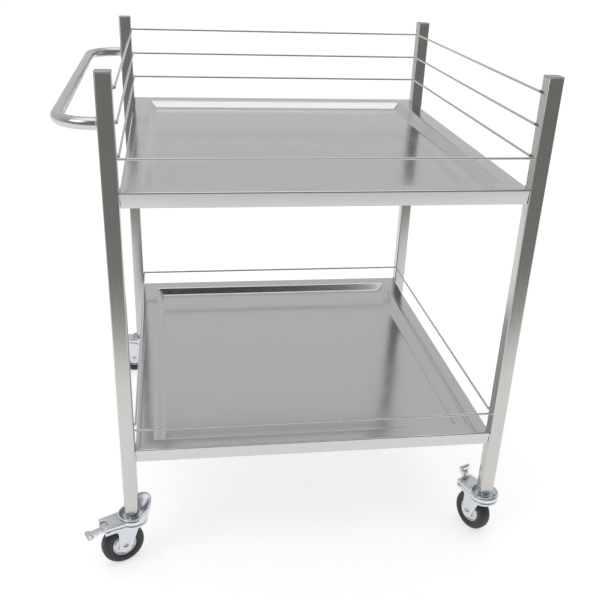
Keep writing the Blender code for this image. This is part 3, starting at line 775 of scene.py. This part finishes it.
def make_wheel(corner, place):
    """A solid tyre with round shoulders and a mould line, on a pressed and dished hub."""
    turn, body = axle_turn(place), f"wheel_{corner}"
    rim = RIM_RADIUS + GAP
    side = [(rim, 0.0098), (rim + 0.0012, 0.0110), (rim + 0.0030, 0.0116), (rim + 0.0052, 0.0124)]
    steps = 10
    for i in range(steps + 1):
        a = math.pi / 2 * i / steps
        side.append((TYRE_CROWN + (WHEEL_RADIUS - TYRE_CROWN) * math.sin(a),
                     TYRE_FLAT + (TYRE_HALF - TYRE_FLAT) * math.cos(a)))
    side += [(WHEEL_RADIUS, 0.0006), (WHEEL_RADIUS + 0.00012, 0.0002)]  # the mould line
    profile = side + [(r, -z) for r, z in reversed(side)]
    bm = bmesh.new()
    turned(bm, profile, 96)
    make_piece(f"solid_tyre_{corner}", bm, RUBBER, body, [f"tyre_{corner}"], turn,
               sharp=50)
    right = [(RIM_RADIUS, 0.0092), (RIM_RADIUS - 0.0006, 0.0102), (RIM_RADIUS - 0.0018, 0.0102),
             (RIM_RADIUS - 0.0030, 0.0070), (0.0150, 0.0062), (0.0110, 0.0085), (0.0098, 0.0132),
             (0.0072, 0.0140), (BORE, 0.0140)]
    line = right + [(r, -z) for r, z in reversed(right)]
    bm = bmesh.new()
    turned(bm, filleted(line, 0.0012, 4, closed=True), 96)
    make_piece(f"hub_{corner}", bm, HUB_STEEL, body, [f"wheel_hub_{corner}"], turn,
               sharp=50)


def make_stem(corner, place):
    """The stem's collar under the post, its riveted end below the crown, and the ball race."""
    foot = POST_FOOT - GAP
    low_head, high_head = CROWN_Z - 0.0043, CROWN_Z - GAP
    collar, wide = 0.0923, 0.0120
    line = [(0, low_head), (0.0072, low_head), (0.0090, low_head + 0.0018), (0.0090, high_head),
            (SHAFT, high_head), (SHAFT, collar), (wide - 0.0008, collar), (wide, collar + 0.0010),
            (wide, foot - 0.0030), (wide - 0.0010, foot - 0.0012), (wide - 0.0010, foot),
            (SHAFT, foot), (SHAFT, foot + 0.0220), (0, foot + 0.0220)]
    radii = [0, 0.001, 0.001, 0.0003, 0, 0, 0.0005, 0.0005, 0.0008, 0.0006, 0.0003, 0, 0, 0]
    bm = bmesh.new()
    turned(bm, filleted(line, radii, 3), 48, closed=False)
    make_piece(f"king_bolt_{corner}", bm, ZINC, ROOT, [f"stem_{corner}"], place,
               sharp=40)
    bm = bmesh.new()
    low, high = BOWL_Z + COVER_SHEET + GAP, BOWL_Z + COVER_SHEET + 0.0029
    section = [(BORE, low), (0.0164, low), (0.0164, low + 0.0012), (0.0150, high - 0.0004),
               (0.0128, high), (BORE, high)]
    turned(bm, filleted(section, 0.0005, 3, closed=True), 64)
    make_piece(f"ball_race_{corner}", bm, HUB_STEEL, ROOT, [f"swivel_race_{corner}"],
               place, sharp=40)


def make_lever(corner, place):
    """A stamped channel arm with a small hole, its cam, the head across its end, and its rivet."""
    angle = LEVER_DOWN if corner == BRAKED else LEVER_UP
    pivot = place @ Matrix.Translation((LEVER_PIVOT, 0, PIVOT_Z))
    turn = pivot @ Matrix.Rotation(-math.radians(angle), 4, "Y")
    half, end, top, hole = LEVER_HALF, LEVER_REACH - 0.004, 0.0034, 0.0014
    bm = bmesh.new()
    arm = [(-0.0040, -half), (end, -half), (end, half), (-0.0040, half)]
    pressed_lid(bm, filleted(arm, 0.0012, 4, closed=True), -top, top, 0.0015, 0.0012)
    cam = [(-0.0042, -0.0030), (0.0072, -0.0030), (0.0078, 0.0072), (0.0040, 0.0086),
           (-0.0030, 0.0078)]
    blocked(bm, filleted(cam, 0.0012, 4, closed=True), rounded_ends(-half, half, 0.0006))
    eye = bmesh.new()
    ring = [(hole, top), (0.0027, top), (0.0027, top + 0.0006), (hole, top + 0.0006)]
    turned(eye, filleted(ring, 0.0003, 3, closed=True), 28)
    hollow = bmesh.new()
    floor = [(0, top - 0.0004), (hole, top - 0.0004), (hole, top + 0.0002), (0, top + 0.0002)]
    turned(hollow, floor, 28, closed=False)
    head = bmesh.new()
    span, thick, flat = 0.0112, 0.0040, 0.0018
    stadium = arc((flat, 0), thick, -90, 90, 12) + arc((-flat, 0), thick, 90, 270, 12)
    blocked(head, stadium, (
        (-span, 0.0014), (-span + 0.0005, 0.0006), (-span + 0.0014, 0.0), (-0.004, 0.0),
        (0.0, 0.0003), (0.004, 0.0), (span - 0.0014, 0.0), (span - 0.0005, 0.0006),
        (span, 0.0014)))
    for part, x in ((eye, LEVER_HOLE), (hollow, LEVER_HOLE), (head, LEVER_REACH)):
        absorb(bm, part, Matrix.Translation((x, 0, 0)))
    make_piece(f"stamped_lever_{corner}", bm, ZINC, f"lever_{corner}",
               [f"brake_lever_{corner}"], turn, sharp=38)
    face = FORK_HALF + GAP
    bm = bmesh.new()
    line = [(0, -face - 0.0012), (0.0020, -face - 0.0012), (0.0032, -face - 0.0004),
            (0.0032, -face), (0.002, -face)]
    line += [(r, -z) for r, z in reversed(line)]
    radii = [0, 0.001, 0.0006, 0, 0, 0, 0, 0.0006, 0.001, 0]
    turned(bm, filleted(line, radii, 3), 28, closed=False)
    make_piece(f"rivet_{corner}", bm, ZINC, f"swivel_{corner}",
               [f"lever_pin_{corner}"], pivot @ Matrix.Rotation(math.pi / 2, 4, "X"), sharp=40)


def make_caster(corner):
    place = caster_place(corner)
    make_stem(corner, Matrix.Translation(place.translation))
    make_cover(corner, place)
    make_fork(corner, place)
    make_axle(corner, place)
    make_wheel(corner, place)
    make_lever(corner, place)


# ---- Studio -----------------------------------------------------------------------------------
def floor_paper():
    """White paper under and behind the cart, running into a grey room floor in front of it."""
    m = Nodes("floor_paper")
    split = m.tree.nodes.new("ShaderNodeSeparateXYZ")
    m.link(m.place, split.inputs[0])
    lit = m.spread(split.outputs["Y"], 0.0, 1.0, *PAPER_SPAN)
    fibre = m.spread(m.noise(90, detail=3.0), 0.0, 0.02)
    share = m.math("SUBTRACT", lit, fibre)
    m.link(m.mix(share, PAPER_FAR, PAPER), m.shader.inputs["Base Color"])
    m.link(m.mix(share, GLOW_FAR, GLOW), m.shader.inputs["Emission Color"])
    m.shader.inputs["Emission Strength"].default_value = GLOW_STRENGTH
    m.shader.inputs["Roughness"].default_value = 0.7
    m.shader.inputs["Specular IOR Level"].default_value = 0.1
    return m.material


def make_floor():
    """A wide floor that is white round the cart."""
    (left, right), (front, back) = FLOOR_X, FLOOR_Y
    bm = bmesh.new()
    corners = ((left, front, 0), (right, front, 0), (right, back, 0), (left, back, 0))
    bm.faces.new([bm.verts.new(p) for p in corners])
    mesh = bpy.data.meshes.new("floor")
    bm.to_mesh(mesh)
    bm.free()
    floor = bpy.data.objects.new("floor", mesh)
    bpy.context.scene.collection.objects.link(floor)
    mesh.materials.append(floor_paper())


def make_world():
    """A grey room, dim in front and lighter behind, under a wide soft ceiling light."""
    world = bpy.data.worlds.new("room")
    bpy.context.scene.world = world
    world.use_nodes = True
    tree = world.node_tree
    place = tree.nodes.new("ShaderNodeTexCoord").outputs["Generated"]
    split = tree.nodes.new("ShaderNodeSeparateXYZ")
    tree.links.new(place, split.inputs[0])

    def ramp(axis, low, high, dark, light):
        span = tree.nodes.new("ShaderNodeMapRange")
        span.interpolation_type = "SMOOTHSTEP"
        span.inputs["From Min"].default_value = low
        span.inputs["From Max"].default_value = high
        tree.links.new(split.outputs[axis], span.inputs["Value"])
        mix = tree.nodes.new("ShaderNodeMix")
        mix.data_type = "RGBA"
        tree.links.new(span.outputs["Result"], mix.inputs["Factor"])
        colours = [socket for socket in mix.inputs if socket.type == "RGBA"]
        for socket, colour in zip(colours, (dark, light)):
            if isinstance(colour, tuple):
                socket.default_value = (*colour, 1.0)
            else:
                tree.links.new(colour, socket)
        return [socket for socket in mix.outputs if socket.type == "RGBA"][0]

    walls = ramp("Y", *WALL_SPAN, WALL_FRONT, WALL_BACK)
    room = ramp("Z", *CEILING_SPAN, walls, CEILING)
    tree.links.new(room, tree.nodes["Background"].inputs["Color"])
    tree.nodes["Background"].inputs["Strength"].default_value = 1.0


def make_light(name, place, aim, size, power):
    data = bpy.data.lights.new(name, "AREA")
    data.shape = "RECTANGLE"
    data.size, data.size_y = size
    data.energy = power
    light = bpy.data.objects.new(name, data)
    light.location = place
    light.rotation_euler = (Vector(aim) - Vector(place)).to_track_quat("-Z", "Y").to_euler()
    bpy.context.scene.collection.objects.link(light)


def make_camera():
    """The photographer's place: in front, a little left, looking down on the cart."""
    data = bpy.data.cameras.new("camera")
    data.sensor_width = SENSOR
    data.lens = LENS
    data.shift_x, data.shift_y = LENS_SHIFT
    camera = bpy.data.objects.new("camera", data)
    rotation = Matrix.Identity(4)
    for angle, axis in ((CAMERA_TURN, "Z"), (CAMERA_PITCH, "X"), (CAMERA_ROLL, "Z")):
        rotation = rotation @ Matrix.Rotation(math.radians(angle), 4, axis)
    camera.matrix_world = Matrix.Translation(CAMERA_PLACE) @ rotation
    bpy.context.scene.collection.objects.link(camera)
    bpy.context.scene.camera = camera


def finish_cad_nodes():
    """The CAD pieces that stay in view get the same plating."""
    for corner in CORNERS:
        node = frame["nodes"][f"stem_socket_{corner}"]
        node.data.materials.clear()
        node.data.materials.append(ZINC)


make_camera()
make_floor()
make_world()
make_light("key_left", (-2.2, -1.6, 2.6), (0.0, 0.0, 0.4), (1.6, 1.6), 16)
bpy.context.scene.view_settings.view_transform = "Standard"
for corner in CORNERS:
    make_post(corner)
    make_caster(corner)
for tray in ("top_tray", "lower_tray"):
    make_tray(tray)
for rail in ("top_rail_low", "top_rail_middle", "top_rail_high", "lower_rail"):
    make_corner_rail(rail)
for rail in ("top_rail_front", "lower_rail_front"):
    make_front_rail(rail)
make_handle()
make_welds()
finish_cad_nodes()
